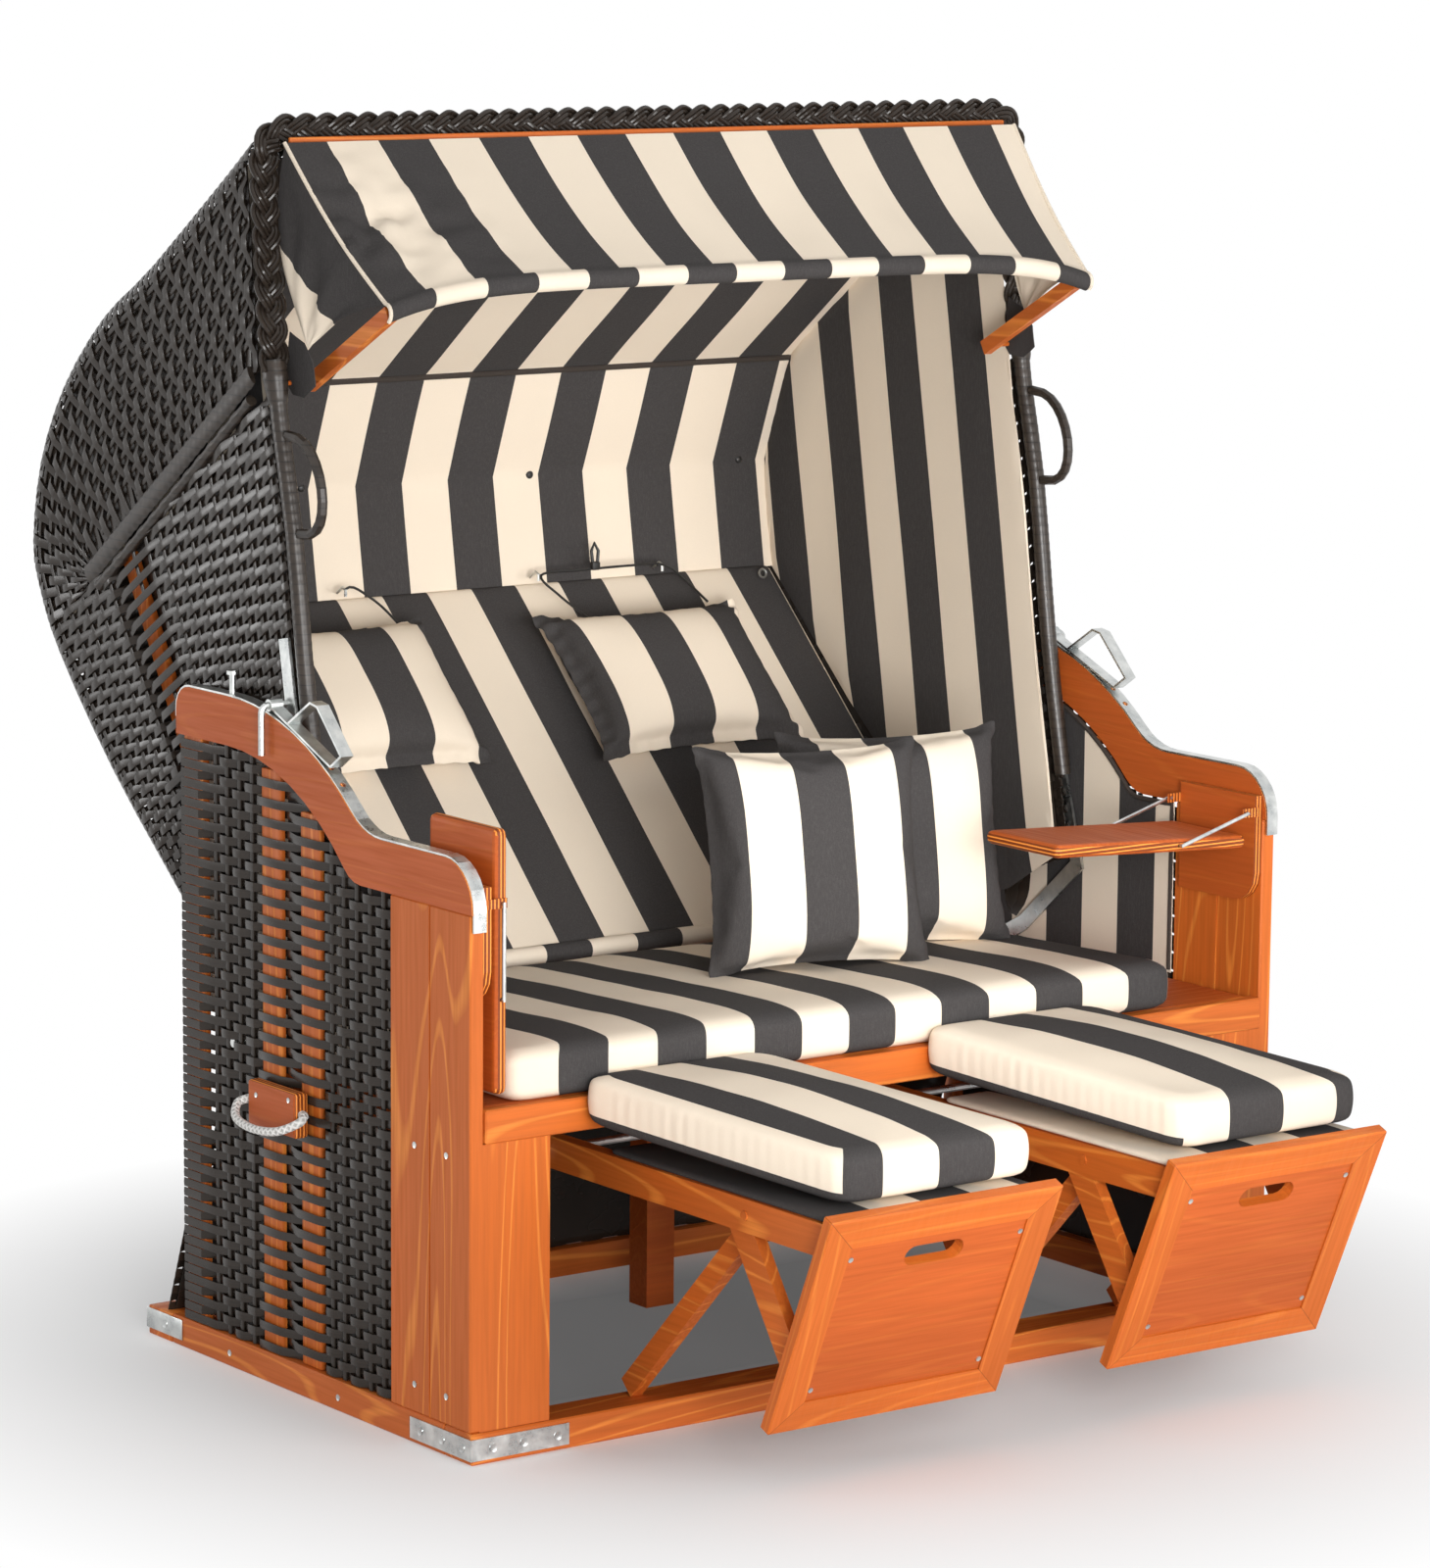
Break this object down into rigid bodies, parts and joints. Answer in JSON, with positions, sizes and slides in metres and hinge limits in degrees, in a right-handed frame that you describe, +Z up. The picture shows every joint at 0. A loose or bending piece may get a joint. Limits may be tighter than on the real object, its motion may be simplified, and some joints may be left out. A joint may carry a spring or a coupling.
{
  "type": "hooded beach chair",
  "caption": "Hooded wicker beach chair for two with reclining hood, striped cloth lining, awning, folding side tables and pull-out footrests.",
  "frame": {"origin": "middle of the front sill's underside, on the ground", "axes": "+X to the sitter's left (to the right for someone facing the chair), -Y out of the front, +Z up"},
  "size_m": [1.3764, 1.5572, 1.5999],
  "materials": {
    "glazed_pine": "satin glaze",
    "glazed_plywood": "satin glaze",
    "plastic_wicker": "woven strands, semi-gloss",
    "zinc_plated_steel": "zinc plated",
    "cream_cloth": "woven, matt",
    "anthracite_cloth": "woven, matt",
    "white_rope": "laid rope, matt"
  },
  "bodies": {
    "base": {"front_sill": "glazed_pine", "rear_wall": "plastic_wicker", "side_sill_left": "glazed_pine", "side_sill_right": "glazed_pine", "corner_bracket_front_left": "zinc_plated_steel", "corner_bracket_front_right": "zinc_plated_steel", "corner_post_left": "glazed_pine", "corner_post_right": "glazed_pine", "side_panel_left": "plastic_wicker", "side_panel_right": "plastic_wicker", "side_lining_left": "cream_cloth", "side_lining_right": "cream_cloth", "armrest_left": "glazed_plywood", "armrest_right": "glazed_plywood", "latch_rail_left": "zinc_plated_steel", "latch_rail_right": "zinc_plated_steel", "seat_front_rail": "glazed_pine", "seat_board": "glazed_plywood", "carry_block_left": "glazed_plywood", "carry_block_right": "glazed_plywood", "carry_rope_left": "white_rope", "carry_rope_right": "white_rope", "table_plate_left": "glazed_plywood", "table_plate_right": "glazed_plywood", "seat_cushion": "cream_cloth", "throw_cushion_front": "anthracite_cloth", "throw_cushion_rear": "anthracite_cloth"},
    "hood": {"hood_frame": "plastic_wicker", "hood_braid": "plastic_wicker", "hood_back": "plastic_wicker", "hood_side_left": "plastic_wicker", "hood_side_right": "plastic_wicker", "hood_lining": "cream_cloth", "pivot_bar_left": "zinc_plated_steel", "pivot_bar_right": "zinc_plated_steel", "grab_handle_left": "plastic_wicker", "grab_handle_right": "plastic_wicker", "backrest": "cream_cloth", "head_pillow_left": "anthracite_cloth", "head_pillow_right": "anthracite_cloth"},
    "awning": {"awning_frame": "glazed_pine", "awning_cloth": "cream_cloth"},
    "latch_left": {"latch_lever_left": "zinc_plated_steel"},
    "table_stay_left": {"table_stay_left": "zinc_plated_steel"},
    "table_left": {"table_top_left": "glazed_plywood"},
    "footrest_slider_left": {"footrest_slider_left": "zinc_plated_steel"},
    "footrest_left": {"footrest_panel_left": "glazed_pine", "footrest_carriage_left": "glazed_pine", "footrest_pad_left": "anthracite_cloth", "footrest_cushion_left": "cream_cloth"},
    "footrest_legs_left": {"footrest_legs_left": "glazed_pine"},
    "latch_right": {"latch_lever_right": "zinc_plated_steel"},
    "table_stay_right": {"table_stay_right": "zinc_plated_steel"},
    "table_right": {"table_top_right": "glazed_plywood"},
    "footrest_slider_right": {"footrest_slider_right": "zinc_plated_steel"},
    "footrest_right": {"footrest_panel_right": "glazed_pine", "footrest_carriage_right": "glazed_pine", "footrest_pad_right": "anthracite_cloth", "footrest_cushion_right": "cream_cloth"},
    "footrest_legs_right": {"footrest_legs_right": "glazed_pine"}
  },
  "joints": [
    {"name": "hood_tilt", "type": "hinge", "parent": "base", "child": "hood", "pos_m": [0, 0.53, 0.425], "axis": [1, 0, 0], "range_deg": [-7, 8]},
    {"name": "awning_swing", "type": "hinge", "parent": "hood", "child": "awning", "pos_m": [0, 0.47256, 1.27], "axis": [-1, 0, 0], "range_deg": [0, 50], "deforming": ["awning_cloth"]},
    {"name": "latch_lift_left", "type": "hinge", "parent": "hood", "child": "latch_left", "pos_m": [-0.6285, 0.43, 0.87308], "axis": [-1, 0, 0], "range_deg": [0, 60]},
    {"name": "table_fold_left", "type": "hinge", "parent": "base", "child": "table_stay_left", "pos_m": [-0.5902, 0.052, 0.687], "axis": [0, -1, 0], "range_deg": [0, 74]},
    {"name": "table_turn_left", "type": "hinge", "parent": "table_stay_left", "child": "table_left", "pos_m": [-0.5902, 0.052, 0.569], "axis": [0, 1, 0], "range_deg": [0, 161.1]},
    {"name": "footrest_slide_left", "type": "slide", "parent": "base", "child": "footrest_slider_left", "axis": [0, 0.8296, -0.5583], "range_m": [0, 0.4309], "deforming": ["footrest_cushion_left"]},
    {"name": "footrest_tilt_left", "type": "hinge", "parent": "footrest_slider_left", "child": "footrest_left", "pos_m": [-0.2405, 0.165, 0.3245], "axis": [-1, 0, 0], "range_deg": [0, 23.3]},
    {"name": "footrest_legs_fold_left", "type": "hinge", "parent": "footrest_left", "child": "footrest_legs_left", "pos_m": [-0.2405, -0.257, 0.3245], "axis": [1, 0, 0], "range_deg": [0, 45.5]},
    {"name": "latch_lift_right", "type": "hinge", "parent": "hood", "child": "latch_right", "pos_m": [0.6285, 0.43, 0.87308], "axis": [-1, 0, 0], "range_deg": [0, 60]},
    {"name": "table_fold_right", "type": "hinge", "parent": "base", "child": "table_stay_right", "pos_m": [0.5902, 0.052, 0.687], "axis": [0, -1, 0], "range_deg": [0, 74]},
    {"name": "table_turn_right", "type": "hinge", "parent": "table_stay_right", "child": "table_right", "pos_m": [0.47677, 0.052, 0.65447], "axis": [0, 1, 0], "range_deg": [0, 161.1]},
    {"name": "footrest_slide_right", "type": "slide", "parent": "base", "child": "footrest_slider_right", "axis": [0, 0.8296, -0.5583], "range_m": [0, 0.4309], "deforming": ["footrest_cushion_right"]},
    {"name": "footrest_tilt_right", "type": "hinge", "parent": "footrest_slider_right", "child": "footrest_right", "pos_m": [0.285, 0.165, 0.3245], "axis": [-1, 0, 0], "range_deg": [0, 23.3]},
    {"name": "footrest_legs_fold_right", "type": "hinge", "parent": "footrest_right", "child": "footrest_legs_right", "pos_m": [0.285, -0.257, 0.3245], "axis": [1, 0, 0], "range_deg": [0, 45.5]}
  ],
  "couplings": [
    {"joint": "table_turn_left", "follows": "table_fold_left", "ratio": 2.1757},
    {"joint": "footrest_tilt_left", "follows": "footrest_slide_left", "rad_per_m": 0.94294},
    {"joint": "footrest_legs_fold_left", "follows": "footrest_slide_left", "rad_per_m": 1.8389},
    {"joint": "table_turn_right", "follows": "table_fold_right", "ratio": 2.1757},
    {"joint": "footrest_tilt_right", "follows": "footrest_slide_right", "rad_per_m": 0.94294},
    {"joint": "footrest_legs_fold_right", "follows": "footrest_slide_right", "rad_per_m": 1.8389}
  ]
}
